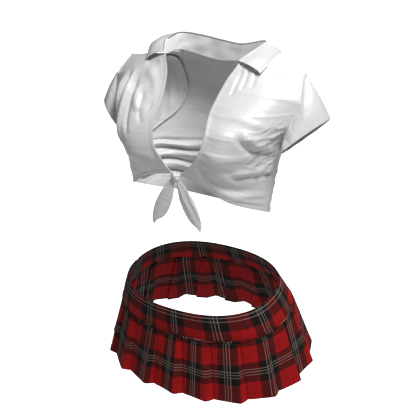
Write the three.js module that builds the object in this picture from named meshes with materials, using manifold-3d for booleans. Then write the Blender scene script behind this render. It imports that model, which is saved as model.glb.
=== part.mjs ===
// A two-piece cheer costume: a short-sleeved shirt tied at the waist, and a tartan mini skirt with a hip yoke.
// Millimetres. +Z is up, -Y is the wearer's front, +X is the wearer's left.
// The origin is the middle of the skirt's waist opening.
import * as THREE from 'three';
import { mergeVertices } from 'three/addons/utils/BufferGeometryUtils.js';
import Module from 'manifold-3d';

// ---------------------------------------------------------------- driving dimensions
// Cloth and sewing
const CLOTH = 1.2;              // thickness of one layer of shirt or skirt cloth
const SEAM_GAP = 0.5;           // space left between two cloth edges that are sewn together
const LAYER_GAP = 0.4;          // space left between two layers that lie on each other
const TIE_CLOTH = 4;            // thickness of a tie tail, which is the front's corner folded over

// Skirt: three level rings, each with its half width, half depth, middle and height
const WAIST = { width: 141.3, depth: 112.8, middle: 0, height: 0, rise: 0.083 };
const HIP = { width: 161.1, depth: 126.4, middle: 17.1, height: -53.5, rise: 0.082 };
const HEM = { width: 190, depth: 150, middle: 31.9, height: -170, rise: 0.069 };
const RING_SQUARENESS = 2.3;    // exponent of the rings' outline; 2 is an ellipse
const CORD_RADIUS = 1.3;        // the cord sewn into the seam under the yoke
const PLEAT_COUNT = 18;
const PLEAT_TURN = 0.375;       // where the first pleat starts, as a share of one pleat
const PLEAT_RIDGE = 0.76;       // where a pleat's fold lies, as a share of its width
const PLEAT_LIFT_TOP = 1.6;     // how far the fold stands out at the seam
const PLEAT_LIFT_HEM = 11;      // and at the hem
const UNDERLAP_TOP = 5;         // cloth tucked behind the next pleat at the seam
const UNDERLAP_HEM = 24;        // and at the hem
const FACING_DEPTH = 46;        // how far the yoke's lining reaches down inside

// Side zip, on the wearer's right, between the two halves of the yoke
const ZIP_SLOT = 9;             // width between the yoke halves
const ZIP_TAPE = 12;            // width of one tape
const ZIP_TAPE_THICK = 0.6;
const ZIP_TAPE_EXTRA = 3;       // how much longer the tapes are than the teeth
const ZIP_LENGTH = 46;          // length of the rows of teeth
const ZIP_STOP = 2.5;           // height of the bottom stop
const TEETH_WIDE = 1.9;         // one row of teeth, from the middle of the zip outwards
const TEETH_THICK = 1.6;
const SLIDER_WIDE = 7;
const SLIDER_LONG = 8;
const SLIDER_PLATE = 0.9;       // thickness of each of its two plates
const SLIDER_WEB = 0.8;         // thickness of the web that joins them, between the rows of teeth
const SLIDER_TOP = 5;           // the closed slider's top is this far below the waist edge
const LOOP_WIRE = 0.45;         // radius of the wire of the slider's loop
const RUNNING_GAP = 0.35;       // between the slider and the teeth, and the pull and its loop
const PULL_WIDE = 4.6;
const PULL_LONG = 16;
const PULL_THICK = 1;
const HOOK_WIRE = 0.6;          // radius of the wire of the waist hook and bar
const HOOK_DOWN = 2.6;          // middle of the hook and bar, below the waist edge

// Shirt: the points that the pattern pieces are cut through, from the hem up. Each point has its distance from the
// middle, so the same lists serve both sides; the left shoulder stands a little higher than the right.
const NECK = { left: [72, -5, 422], right: [68, -5, 418] };
const SHOULDER = { left: [170, 38, 407], right: [160, 38, 391] };
const SIDE_SEAM = [[129, -12, 168], [134, -8, 205], [140, -5, 242], [146, -2, 276]];
const ARMHOLE_FRONT = { left: [[165, -14, 332], [181, 5, 366]], right: [[163, -14, 328], [173, 6, 362]] };
const ARMHOLE_BACK = { left: [[153, 52, 322], [168, 60, 370]], right: [[152, 52, 318], [162, 60, 360]] };
const CENTRE_BACK = [[0, 71, 129], [0, 79, 182], [0, 88, 233], [0, 94, 288], [0, 93, 332], [0, 78, 372], [0, 62, 399]];
const BACK_INNER = [[46, 68, 131], [47, 75, 184], [49, 84, 235], [51, 91, 288], [52, 90, 332], [56, 72, 384],
  [66, 48, 412]];
const BACK_MIDDLE = [[88, 56, 137], [92, 62, 188], [95, 71, 238], [97, 79, 288], [98, 83, 332], [90, 60, 388]];
const BACK_OUTER = [[117, 28, 148], [121, 35, 196], [126, 43, 242], [130, 52, 288], [130, 66, 328], [126, 60, 378]];
const EDGE_LEFT = [[12.4, -99, 247], [34, -107, 268], [52, -110, 293], [60, -102, 325], [54, -72, 354], [60, -32, 393]];
const EDGE_RIGHT = [[3.2, -99, 247], [16, -106, 268], [33, -107, 296], [41, -92, 330], [40, -66, 358], [48, -34, 392]];
const BREAST = [[50, -94, 233], [72, -104, 256], [86, -108, 286], [94, -100, 318], [92, -74, 350], [100, -30, 386]];
const FLANK = [[95, -80, 205], [105, -76, 236], [116, -74, 273], [126, -72, 305], [134, -56, 343], [140, -20, 378]];
const FLANK_RIGHT_IN = 5;       // the right front is drawn in by this much beside the breast
const FACING_GAP = 1.9;         // space between the armhole facing and the back, which curves both ways
const FACING_LOW = 0.31;        // the armhole facing starts at this share of the back's height
const FACING_REACH = [0.03, 0.25, 0.31, 0.295, 0.24];    // and reaches this share of the way across the back
const SLEEVE_LEFT = { middle: [187, 10, 309], up: [28, 10, 27], forward: [-12, -42, -6] };
const SLEEVE_RIGHT = { middle: [182, 1, 290], up: [24, 11, 20], forward: [-15, -37, 10] };
const SLEEVE_START = 3.1;       // the sleeve's first edge stands off the armhole by its folded seam
const SLEEVE_CAP = 7;           // how far the sleeve head puffs out between the armhole and its hem

// Collar: the fold it turns over on, from the wearer's right front round the back to the left front
const COLLAR_FOLD = [[-67, -7, 420], [-82, 28, 431], [-72, 56, 437], [-36, 67, 434], [0, 69, 430], [40, 67, 429],
  [86, 58, 443], [87, 28, 439], [71, -7, 424]];
const COLLAR_EDGE = [[-105, -5, 417], [-116, 34, 422], [-102, 74, 417], [-46, 95, 407], [0, 98, 404], [48, 95, 405],
  [106, 80, 421], [118, 34, 428], [113, -5, 418]];
const POINT_SHARE = 0.22;       // share of the collar's length taken by each point
const COLLAR_LENGTH = 300;      // length of the collar along its fold, to the nearest centimetre or so
const STAND_LIFT = 0.3;         // space between the neck seam and the collar stand

// Knot and tie tails
const KNOT = [4.5, -101, 242];
const KNOT_HALF = [8.5, 7, 8.5];
const TAIL_TIP_LEFT = [54, -114, 162];
const TAIL_TIP_RIGHT = [-29, -112, 157];
const TAIL_START = 6;           // how far each tail starts from the knot's middle
const TAIL_WIDTHS = [8, 21, 27, 25, 12];
const TAIL_SLANT = 6;           // how much longer a tail's outer edge is

// ---------------------------------------------------------------- materials
const whiteCotton = new THREE.MeshStandardMaterial({ color: 0xf2f2f2, roughness: 0.55, metalness: 0 });
const tartanWool = new THREE.MeshStandardMaterial({ color: 0x8a1414, roughness: 0.9, metalness: 0 });
const tartanPleat = new THREE.MeshStandardMaterial({ color: 0x74161a, roughness: 0.9, metalness: 0 });
const blackTape = new THREE.MeshStandardMaterial({ color: 0x1b1819, roughness: 0.85, metalness: 0 });
const darkMetal = new THREE.MeshStandardMaterial({ color: 0x5a5b60, roughness: 0.35, metalness: 1 });

const uniform = new THREE.Group();

function add(name, geometry, material, mirrored = false) {
  const mesh = new THREE.Mesh(geometry, material);
  mesh.name = name;
  mesh.scale.x = mirrored ? -1 : 1;
  uniform.add(mesh);
  return mesh;
}

// ---------------------------------------------------------------- surfaces
function vector(point) {
  return new THREE.Vector3(point[0], point[1], point[2]);
}

// A smooth line through points, at share 0 to 1 of the way along.
function through(points, share) {
  const curve = new THREE.CatmullRomCurve3(points.map(vector), false, 'catmullrom', 0.5);
  return curve.getPoint(Math.min(Math.max(share, 0), 1));
}

// A line of straight stretches through points.
function straightThrough(points, share) {
  const place = Math.min(Math.max(share, 0), 1) * (points.length - 1);
  const first = Math.min(Math.floor(place), points.length - 2);
  return vector(points[first]).lerp(vector(points[first + 1]), place - first);
}

// A point moved off a surface along its outward normal, which is the u direction crossed with the v direction.
function offSurface(surface, u, v, distance) {
  const step = 1e-3;
  const alongU = surface(u + step, v).sub(surface(u - step, v));
  const alongV = surface(u, v + step).sub(surface(u, v - step));
  const normal = alongU.cross(alongV).normalize();
  return surface(u, v).addScaledVector(normal, distance);
}

// A layer of cloth: a flat box whose points are carried onto a surface and the layer's thickness.
function layer(surface, across, along, inner, outer, range = [0, 1, 0, 1]) {
  const geometry = new THREE.BoxGeometry(1, 1, 1, across, along, 1);
  const points = geometry.attributes.position;
  for (let i = 0; i < points.count; i += 1) {
    const u = range[0] + (range[1] - range[0]) * (points.getX(i) + 0.5);
    const v = range[2] + (range[3] - range[2]) * (points.getY(i) + 0.5);
    const moved = offSurface(surface, u, v, points.getZ(i) < 0 ? inner : outer);
    points.setXYZ(i, moved.x, moved.y, moved.z);
  }
  geometry.deleteAttribute('uv');
  geometry.computeVertexNormals();
  return geometry;
}

// A closed band of cloth, such as a sleeve: a ring whose section is carried onto a surface that closes in u.
function band(surface, around, along, inner, outer) {
  const corners = 2 * (along + 1);
  const geometry = new THREE.TorusGeometry(2, 1, corners, around);
  const points = geometry.attributes.position;
  for (let i = 0; i < points.count; i += 1) {
    const turn = Math.atan2(points.getY(i), points.getX(i)) / (2 * Math.PI);
    const reach = Math.hypot(points.getX(i), points.getY(i)) - 2;
    const roll = Math.atan2(points.getZ(i), reach) / (2 * Math.PI);
    const corner = ((Math.round(roll * corners) % corners) + corners) % corners;
    const onOutside = corner <= along;
    const v = onOutside ? corner / along : (corners - 1 - corner) / along;
    const moved = offSurface(surface, Math.round(turn * around) / around, v, onOutside ? outer : inner);
    points.setXYZ(i, moved.x, moved.y, moved.z);
  }
  geometry.deleteAttribute('uv');
  geometry.computeVertexNormals();
  return geometry;
}

// ---------------------------------------------------------------- skirt rings
// Each ring is turned by polar angle, with its perimeter measured so that a share of it can be found.
function measuredRing(size) {
  const steps = 720;
  const ring = { size, lengths: [0] };
  for (let i = 1; i <= steps; i += 1) {
    const from = ringAtAngle(size, ((i - 1) / steps) * 2 * Math.PI);
    const to = ringAtAngle(size, (i / steps) * 2 * Math.PI);
    ring.lengths.push(ring.lengths[i - 1] + from.distanceTo(to));
  }
  ring.perimeter = ring.lengths[steps];
  return ring;
}

function ringAtAngle(size, angle) {
  const sine = Math.sin(angle);
  const cosine = Math.cos(angle);
  const side = Math.abs(sine / size.width) ** RING_SQUARENESS;
  const front = Math.abs(cosine / size.depth) ** RING_SQUARENESS;
  const radius = (side + front) ** (-1 / RING_SQUARENESS);
  const y = size.middle - radius * cosine;
  return new THREE.Vector3(radius * sine, y, size.height + size.rise * y);
}

// A point on a ring: share 0 is the centre front, 0.25 the wearer's left and 0.75 the wearer's right.
function onRing(ring, share) {
  const wrapped = share - Math.floor(share);
  const target = wrapped * ring.perimeter;
  let low = 0;
  let high = ring.lengths.length - 1;
  while (high - low > 1) {
    const middle = (low + high) >> 1;
    if (ring.lengths[middle] <= target) low = middle;
    else high = middle;
  }
  const part = (target - ring.lengths[low]) / (ring.lengths[high] - ring.lengths[low]);
  return ringAtAngle(ring.size, ((low + part) / (ring.lengths.length - 1)) * 2 * Math.PI);
}

// The level direction that points out of a ring.
function outwardAt(ring, share) {
  const tangent = onRing(ring, share + 1e-3).sub(onRing(ring, share - 1e-3));
  return new THREE.Vector3(tangent.y, -tangent.x, 0).normalize();
}

const waistRing = measuredRing(WAIST);
const hipRing = measuredRing(HIP);
const hemRing = measuredRing(HEM);
const yokeHeight = WAIST.height - HIP.height;
const YOKE_STOP = CORD_RADIUS + LAYER_GAP;         // the yoke ends this far above the middle of the cord
const PLEAT_DROP = CORD_RADIUS + 2 * LAYER_GAP;    // and the pleats start this far below it

// The yoke's surface: u is a share of the ring, v runs from the hip seam up to the waist.
function yokeSurface(u, v) {
  const low = onRing(hipRing, u);
  const high = onRing(waistRing, u);
  return low.lerp(high, v);
}

// ---------------------------------------------------------------- skirt yoke
const zipShare = 0.75;
const slotShare = ZIP_SLOT / 2 / waistRing.perimeter;
const sideGap = SEAM_GAP / waistRing.perimeter;
const yokeLow = YOKE_STOP / yokeHeight;

function buildYoke() {
  const frontRange = [zipShare - 1 + slotShare, 0.25 - sideGap, yokeLow, 1];
  const backRange = [0.25 + sideGap, zipShare - slotShare, yokeLow, 1];
  add('yoke_front', layer(yokeSurface, 26, 3, 0, CLOTH, frontRange), tartanWool);
  add('yoke_back', layer(yokeSurface, 26, 3, 0, CLOTH, backRange), tartanWool);
  const tapeShare = (ZIP_SLOT / 2 + ZIP_TAPE) / waistRing.perimeter;
  const facingLow = 1 - FACING_DEPTH / yokeHeight;
  const facingRange = [zipShare - 1 + tapeShare, zipShare - tapeShare, facingLow, 1];
  const facingOut = -1.5 * LAYER_GAP;
  add('yoke_lining', layer(yokeSurface, 52, 3, facingOut - CLOTH, facingOut, facingRange), tartanWool);
}

// The cord in the seam is a ring with its ends meeting at the zip, so it stops each side of the slot.
function buildSeamCord() {
  const stops = [zipShare - 1 + slotShare, zipShare - slotShare];
  const middle = new THREE.Curve();
  middle.getPoint = (t, target = new THREE.Vector3()) => {
    const share = stops[0] + (stops[1] - stops[0]) * t;
    const point = onRing(hipRing, share).addScaledVector(outwardAt(hipRing, share), CLOTH / 2);
    return target.copy(point);
  };
  const section = new THREE.Shape();
  section.absarc(0, 0, CORD_RADIUS, 0, 2 * Math.PI);
  const tube = new THREE.ExtrudeGeometry(section, { steps: 72, curveSegments: 3, extrudePath: middle });
  add('hip_seam_cord', tube, blackTape);
}

// ---------------------------------------------------------------- pleats
// One pleat in plan: its face rises to the fold, the return drops behind the next pleat, and the underlap goes on.
const PLEAT_STATIONS = [0, PLEAT_RIDGE / 2, PLEAT_RIDGE, (1 + PLEAT_RIDGE) / 2, 1, 1.5, 2];

function pleatSurface(index) {
  const tuck = CLOTH + 2 * LAYER_GAP;
  return (u, v) => {
    const place = Math.min(Math.max(u, 0), 1) * (PLEAT_STATIONS.length - 1);
    const first = Math.min(Math.floor(place), PLEAT_STATIONS.length - 2);
    const station = THREE.MathUtils.lerp(PLEAT_STATIONS[first], PLEAT_STATIONS[first + 1], place - first);
    const drop = 1 - v;
    const lift = THREE.MathUtils.lerp(PLEAT_LIFT_TOP, PLEAT_LIFT_HEM, drop);
    const underlap = THREE.MathUtils.lerp(UNDERLAP_TOP, UNDERLAP_HEM, drop);
    const perimeter = THREE.MathUtils.lerp(hipRing.perimeter, hemRing.perimeter, drop);
    const fold = station < PLEAT_RIDGE ? station / PLEAT_RIDGE : Math.max(1 - station, 0) / (1 - PLEAT_RIDGE);
    const sunk = THREE.MathUtils.clamp((station - PLEAT_RIDGE) / (1 - PLEAT_RIDGE), 0, 1) * tuck;
    const turned = (index + PLEAT_TURN + Math.min(station, 1)) / PLEAT_COUNT;
    const share = turned + (Math.max(station - 1, 0) * underlap) / perimeter;
    const top = onRing(hipRing, share);
    top.z -= PLEAT_DROP;
    const point = top.lerp(onRing(hemRing, share), drop);
    return point.addScaledVector(outwardAt(hemRing, share), fold * lift - sunk);
  };
}

function buildPleats() {
  const edge = SEAM_GAP / (hipRing.perimeter / PLEAT_COUNT) / (PLEAT_STATIONS.length - 1);
  for (let i = 0; i < PLEAT_COUNT; i += 1) {
    const geometry = layer(pleatSurface(i), PLEAT_STATIONS.length - 1, 4, 0, CLOTH, [edge, 1, 0, 1]);
    add(`pleat_${String(i + 1).padStart(2, '0')}`, geometry, tartanPleat);
  }
}

// ---------------------------------------------------------------- side zip
// Its parts are drawn lying flat, x along the ring, y up the zip and z out of the skirt, then set on the yoke.
function setOnYoke(mesh, out, up) {
  const low = yokeSurface(zipShare, 0);
  const high = yokeSurface(zipShare, 1);
  const upward = high.clone().sub(low).normalize();
  const round = onRing(waistRing, zipShare + 1e-3).sub(onRing(waistRing, zipShare - 1e-3)).normalize();
  const outward = round.cross(upward).normalize();
  const along = upward.clone().cross(outward);
  mesh.matrixAutoUpdate = false;
  mesh.matrix.makeBasis(along, upward, outward);
  const place = high.clone().addScaledVector(upward, up).addScaledVector(outward, out);
  mesh.matrix.setPosition(place);
}

function zipBlock(name, size, material, x, up, out) {
  const geometry = new THREE.BoxGeometry(size[0], size[1], size[2]);
  geometry.translate(x, -size[1] / 2, 0);
  setOnYoke(add(name, geometry, material), out, up);
}

const zipOut = CLOTH / 2;                      // the middle of the teeth, level with the yoke's cloth
const teethOffset = SLIDER_WEB / 2 + RUNNING_GAP + TEETH_WIDE / 2;
const zipTop = -SLIDER_TOP;
const sideRadius = WAIST.depth ** 2 / WAIST.width;
const tapeReach = ZIP_SLOT / 2 + ZIP_TAPE;
const tapeFace = -(tapeReach ** 2) / (2 * sideRadius) - LAYER_GAP;    // clear of the yoke, which curves away

function buildTapesAndTeeth() {
  const tapeOut = tapeFace - ZIP_TAPE_THICK / 2;
  const tapeInner = teethOffset + TEETH_WIDE / 2 + LAYER_GAP;
  const tapeMiddle = tapeInner + ZIP_TAPE / 2;
  for (const [label, side] of [['front', 1], ['back', -1]]) {
    const tape = [ZIP_TAPE, ZIP_LENGTH + ZIP_TAPE_EXTRA, ZIP_TAPE_THICK];
    zipBlock(`zip_tape_${label}`, tape, blackTape, side * tapeMiddle, -1, tapeOut);
    const teeth = [TEETH_WIDE, ZIP_LENGTH, TEETH_THICK];
    zipBlock(`zip_teeth_${label}`, teeth, darkMetal, side * teethOffset, zipTop + SLIDER_LONG / 2, zipOut);
  }
  const stop = [2 * teethOffset + TEETH_WIDE, ZIP_STOP, TEETH_THICK];
  const stopUp = zipTop + SLIDER_LONG / 2 - ZIP_LENGTH - RUNNING_GAP;
  zipBlock('zip_bottom_stop', stop, darkMetal, 0, stopUp, zipOut);
}

// The slider is an I-shaped bar: two plates joined by a web that runs between the teeth, with a loop outside.
function buildSlider() {
  const half = TEETH_THICK / 2 + RUNNING_GAP;
  const outline = new THREE.Shape();
  const wide = SLIDER_WIDE / 2;
  const web = SLIDER_WEB / 2;
  const top = half + SLIDER_PLATE;
  const corners = [[-wide, -top], [wide, -top], [wide, -half], [web, -half], [web, half], [wide, half], [wide, top],
    [-wide, top], [-wide, half], [-web, half], [-web, -half], [-wide, -half]];
  corners.forEach(([x, y], i) => (i ? outline.lineTo(x, y) : outline.moveTo(x, y)));
  const body = new THREE.ExtrudeGeometry(outline, { depth: SLIDER_LONG, bevelEnabled: false });
  body.rotateX(Math.PI / 2);
  const loopPath = new THREE.CatmullRomCurve3([[0, -1.6, top - 0.3], [0, -1.8, top + 1.6], [0, -3.6, top + 2.4],
    [0, -5.4, top + 1.6], [0, -5.6, top - 0.3]].map(vector));
  const wire = new THREE.Shape();
  wire.absarc(0, 0, LOOP_WIRE, 0, 2 * Math.PI);
  const loop = new THREE.ExtrudeGeometry(wire, { steps: 12, curveSegments: 4, extrudePath: loopPath });
  setOnYoke(add('zip_slider', joined(body, loop), darkMetal), zipOut, zipTop);
  return top;
}

// The pull hangs from the loop by a slot in its upper end.
function buildPull(top) {
  const shape = new THREE.Shape();
  const half = PULL_WIDE / 2;
  shape.moveTo(-half, -PULL_LONG + half);
  shape.absarc(0, -PULL_LONG + half, half, Math.PI, 2 * Math.PI);
  shape.lineTo(half * 0.7, 0);
  shape.lineTo(-half * 0.7, 0);
  const slot = new THREE.Path();
  slot.absellipse(0, -1.9, 0.9, 1.15, 0, 2 * Math.PI, true);
  shape.holes.push(slot);
  const depth = { depth: PULL_THICK, bevelEnabled: false, curveSegments: 6 };
  const plate = new THREE.ExtrudeGeometry(shape, depth);
  setOnYoke(add('zip_pull', plate, darkMetal), zipOut + top + RUNNING_GAP, zipTop - 3.7);
}

// A hook on the front half closes over a bar on the back half, above the zip.
function wireThrough(points, steps) {
  const path = new THREE.CatmullRomCurve3(points.map(vector));
  const wire = new THREE.Shape();
  wire.absarc(0, 0, HOOK_WIRE, 0, 2 * Math.PI);
  return new THREE.ExtrudeGeometry(wire, { steps, curveSegments: 4, extrudePath: path });
}

function buildHookAndBar() {
  const inside = tapeFace - ZIP_TAPE_THICK - LAYER_GAP - HOOK_WIRE;
  const hook = wireThrough([[9, 0, 0], [3, 0, 0], [-2.4, 0, 0], [-4.1, 0, -1.7], [-2.4, 0, -3.4], [2, 0, -3.4]], 20);
  setOnYoke(add('waist_hook', hook, darkMetal), inside, -HOOK_DOWN);
  const bar = wireThrough([[-10, 2.4, 0], [-6.4, 2.4, -0.6], [-3, 1.8, -1.7], [-2, 0, -1.7], [-3, -1.8, -1.7],
    [-6.4, -2.4, -0.6], [-10, -2.4, 0]], 24);
  setOnYoke(add('waist_bar', bar, darkMetal), inside, -HOOK_DOWN);
}

// ---------------------------------------------------------------- joining solids
const manifold = await Module();
manifold.setup();

function solidOf(geometry) {
  const bare = geometry.clone();
  bare.deleteAttribute('normal');
  bare.deleteAttribute('uv');
  const merged = mergeVertices(bare, 1e-4);
  const vertProperties = new Float32Array(merged.attributes.position.array);
  const triVerts = new Uint32Array(merged.index.array);
  return new manifold.Manifold(new manifold.Mesh({ numProp: 3, vertProperties, triVerts }));
}

function joined(first, second) {
  const mesh = solidOf(first).add(solidOf(second)).getMesh();
  const geometry = new THREE.BufferGeometry();
  geometry.setAttribute('position', new THREE.BufferAttribute(new Float32Array(mesh.vertProperties), 3));
  geometry.setIndex(new THREE.BufferAttribute(new Uint32Array(mesh.triVerts), 1));
  geometry.computeVertexNormals();
  return geometry;
}

// ---------------------------------------------------------------- shirt panels
function mirroredPoints(points) {
  return points.map(([x, y, z]) => [-x, y, z]);
}

function between(from, to, share) {
  return from.map((value, i) => value + (to[i] - value) * share);
}

// A panel is a set of columns that run from its hem to its top; the last column is a seam of straight stretches.
function panelSurface(columns, seams) {
  return (u, v) => {
    const row = columns.map((points, i) => (seams.includes(i) ? straightThrough(points, v) : through(points, v)));
    const curve = new THREE.CatmullRomCurve3(row, false, 'catmullrom', 0.5);
    return curve.getPoint(Math.min(Math.max(u, 0), 1));
  };
}

function halfBack(side) {
  return [
    [...SIDE_SEAM, ...ARMHOLE_BACK[side], SHOULDER[side]],
    [...BACK_OUTER, between(NECK[side], SHOULDER[side], 0.5)],
    [...BACK_MIDDLE, NECK[side]],
    BACK_INNER,
  ];
}

// The back's nine columns run from the left side seam to the right one.
const backSurface = panelSurface(
  [...halfBack('left'), CENTRE_BACK, ...halfBack('right').map(mirroredPoints).reverse()],
  [0, 8],
);

// The shoulder seam is the outer quarter of the back's top edge, from the neck (share 0) to the sleeve head (1).
function shoulderSeam(side, share) {
  const across = side === 'left' ? (1 - share) / 4 : (3 + share) / 4;
  const point = backSurface(across, 1);
  return [Math.abs(point.x), point.y, point.z];
}

function frontSurface(side, edge, drawnIn) {
  const columns = [
    [...edge, NECK[side]],
    [...BREAST, shoulderSeam(side, 1 / 3)],
    [...FLANK.map(([x, y, z]) => [x - drawnIn, y, z]), shoulderSeam(side, 2 / 3)],
    [...SIDE_SEAM, ...ARMHOLE_FRONT[side], SHOULDER[side]],
  ];
  return panelSurface(columns, [3]);
}

const PANEL_ACROSS = 100;                        // a front is about this wide from its edge to the side seam
const PANEL_TRIM = (2 * SEAM_GAP) / PANEL_ACROSS;

function buildPanels() {
  const range = [0, 1 - PANEL_TRIM, 0, 1 - PANEL_TRIM / 2];
  const left = frontSurface('left', EDGE_LEFT, 0);
  add('front_left', layer(left, 9, 18, 0, CLOTH, range), whiteCotton);
  const right = frontSurface('right', EDGE_RIGHT, FLANK_RIGHT_IN);
  add('front_right', layer(right, 9, 18, 0, CLOTH, range), whiteCotton, true);
  const backRange = [PANEL_TRIM / 3, 1 - PANEL_TRIM / 3, 0, 1 - PANEL_TRIM / 2];
  add('back_panel', layer(backSurface, 24, 18, 0, CLOTH, backRange), whiteCotton);
}

// A facing lies inside the back beside each armhole, and its free edge curves in towards the middle of the back.
function buildFacings() {
  const reach = FACING_REACH.map((share) => [share, 0, 0]);
  const edge = (q) => through(reach, q).x;
  const height = (q) => THREE.MathUtils.lerp(FACING_LOW, 1 - PANEL_TRIM, q);
  const near = 3 * PANEL_TRIM;
  const left = (p, q) => backSurface(THREE.MathUtils.lerp(near, edge(q), p), height(q));
  const right = (p, q) => backSurface(1 - THREE.MathUtils.lerp(edge(q), near, p), height(q));
  add('armhole_facing_left', layer(left, 8, 14, -FACING_GAP - CLOTH, -FACING_GAP), whiteCotton);
  add('armhole_facing_right', layer(right, 8, 14, -FACING_GAP - CLOTH, -FACING_GAP), whiteCotton);
}

// ---------------------------------------------------------------- sleeves
// u goes round the arm from the underarm to the front, over the shoulder and down the back.
function sleeveSurface(side, hem) {
  const back = [...ARMHOLE_BACK[side]].reverse();
  const loop = [SIDE_SEAM[3], ...ARMHOLE_FRONT[side], SHOULDER[side], ...back, SIDE_SEAM[3]];
  return (u, v) => {
    const wrapped = u - Math.floor(u);
    const start = straightThrough(loop, wrapped);
    const angle = wrapped * 2 * Math.PI;
    const end = vector(hem.middle).addScaledVector(vector(hem.up), -Math.cos(angle));
    end.addScaledVector(vector(hem.forward), Math.sin(angle));
    const way = end.clone().sub(start);
    start.addScaledVector(way.clone().normalize(), SLEEVE_START);
    const point = start.lerp(end, v);
    const head = Math.max(-Math.cos(angle), 0) * SLEEVE_CAP * 4 * v * (1 - v);
    return point.add(new THREE.Vector3(0.6, 0, 0.8).multiplyScalar(head));
  };
}

function buildSleeves() {
  add('sleeve_left', band(sleeveSurface('left', SLEEVE_LEFT), 18, 4, -CLOTH / 2, CLOTH / 2), whiteCotton);
  add('sleeve_right', band(sleeveSurface('right', SLEEVE_RIGHT), 18, 4, -CLOTH / 2, CLOTH / 2), whiteCotton, true);
}

// ---------------------------------------------------------------- collar
// The neck seam is the top of the back panel, from the right neck point to the left one.
function neckSeam(share) {
  return backSurface(THREE.MathUtils.lerp(0.75, 0.25, share), 1);
}

function buildCollar() {
  const fold = (share) => through(COLLAR_FOLD, share);
  const edge = (share) => through(COLLAR_EDGE, share);
  const standSurface = (u, v) => {
    const low = neckSeam(u);
    low.z += STAND_LIFT;
    return low.lerp(fold(u).setZ(fold(u).z - LAYER_GAP), v);
  };
  add('collar_stand', layer(standSurface, 28, 2, 0, CLOTH, [0.02, 0.98, 0, 1]), whiteCotton);
  const fallSurface = (u, v) => edge(u).lerp(fold(u), v);
  const gap = SEAM_GAP / COLLAR_LENGTH;
  const parts = [
    ['collar_point_right', 0, POINT_SHARE - gap, 6],
    ['collar_fall', POINT_SHARE + gap, 1 - POINT_SHARE - gap, 18],
    ['collar_point_left', 1 - POINT_SHARE + gap, 1, 6],
  ];
  for (const [name, from, to, steps] of parts) {
    add(name, layer(fallSurface, steps, 3, -2 * LAYER_GAP - CLOTH, -2 * LAYER_GAP, [from, to, 0, 1]), whiteCotton);
  }
}

// ---------------------------------------------------------------- knot and tails
function buildKnot() {
  const knot = new THREE.SphereGeometry(1, 16, 10);
  knot.scale(KNOT_HALF[0], KNOT_HALF[1], KNOT_HALF[2]);
  knot.translate(KNOT[0], KNOT[1], KNOT[2]);
  add('knot', knot, whiteCotton);
}

function tailSurface(tip, side) {
  const top = vector(KNOT).add(new THREE.Vector3(side * TAIL_START, -1, 1.5 - KNOT_HALF[2]));
  const way = vector(tip).sub(top).normalize();
  const across = way.clone().cross(new THREE.Vector3(0, -1, 0)).normalize();
  const widths = TAIL_WIDTHS.map((wide) => [wide, 0, 0]);
  return (u, v) => {
    const down = 1 - v;
    const point = top.clone().lerp(vector(tip), down);
    const slant = side * (u - 0.5) * 2 * TAIL_SLANT * down;
    return point.addScaledVector(across, (0.5 - u) * through(widths, down).x).addScaledVector(way, slant);
  };
}

function buildTails() {
  const half = TIE_CLOTH / 2;
  add('tie_tail_left', layer(tailSurface(TAIL_TIP_LEFT, 1), 3, 8, -half, half), whiteCotton);
  add('tie_tail_right', layer(tailSurface(TAIL_TIP_RIGHT, -1), 3, 8, -half, half), whiteCotton);
}

buildYoke();
buildSeamCord();
buildPleats();
buildTapesAndTeeth();
buildPull(buildSlider());
buildHookAndBar();
buildPanels();
buildFacings();
buildSleeves();
buildCollar();
buildKnot();
buildTails();

export default uniform;
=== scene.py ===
"""A two-piece cheer costume, shaped as it is worn: a cropped white shirt, open at the neck and tied under the
bust, over a pleated tartan mini skirt with a plain hip yoke and a side zip.

Lengths are worked out in millimetres and go into the meshes in metres. +Z is up, -Y is the wearer's front and
+X the wearer's left. A cloth piece is a grid of points: its columns run round or across the wearer and its
rows run up, so the cross product of the two directions points out of the garment.
"""
import math

import bmesh
import bpy
import numpy as np
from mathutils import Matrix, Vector


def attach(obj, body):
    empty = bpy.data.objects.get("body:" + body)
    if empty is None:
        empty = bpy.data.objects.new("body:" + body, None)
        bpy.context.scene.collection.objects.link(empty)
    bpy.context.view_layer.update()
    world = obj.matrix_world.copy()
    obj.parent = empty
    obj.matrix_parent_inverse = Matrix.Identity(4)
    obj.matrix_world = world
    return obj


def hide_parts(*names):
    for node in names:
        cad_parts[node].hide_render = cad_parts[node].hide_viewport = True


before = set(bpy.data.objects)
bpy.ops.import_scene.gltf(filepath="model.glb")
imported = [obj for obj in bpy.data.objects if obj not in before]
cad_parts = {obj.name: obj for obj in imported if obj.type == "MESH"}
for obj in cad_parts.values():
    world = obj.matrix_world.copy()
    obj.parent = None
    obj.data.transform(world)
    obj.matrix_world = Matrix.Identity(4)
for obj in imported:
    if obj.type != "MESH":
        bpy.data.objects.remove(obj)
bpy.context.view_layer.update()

# ---------------------------------------------------------------- the yoke
# Two plain panels of tartan wool twill that fit the hip, cut with the rows running level and sewn together at
# the wearer's left side; the zip closes them at the right. The top edge is turned in over the lining, and the
# lower edge is caught in a corded seam with the pleats.
CLOTH = 1.2
LAYER_GAP = 0.4
SEAM_GAP = 0.5
WAIST = {"width": 141.3, "depth": 112.8, "middle": 0.0, "height": 0.0, "rise": 0.083}
HIP = {"width": 161.1, "depth": 126.4, "middle": 17.1, "height": -53.5, "rise": 0.082}
RING_SQUARENESS = 2.3
CORD_RADIUS = 1.3
ZIP_SLOT = 9.0
ZIP_SHARE = 0.75
SIDE_SHARE = 0.25
YOKE_TUCK = 1.6
YOKE_SWELL = 1.1
YOKE_EASE = 0.35
YOKE_TURNED = 7.0
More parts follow.
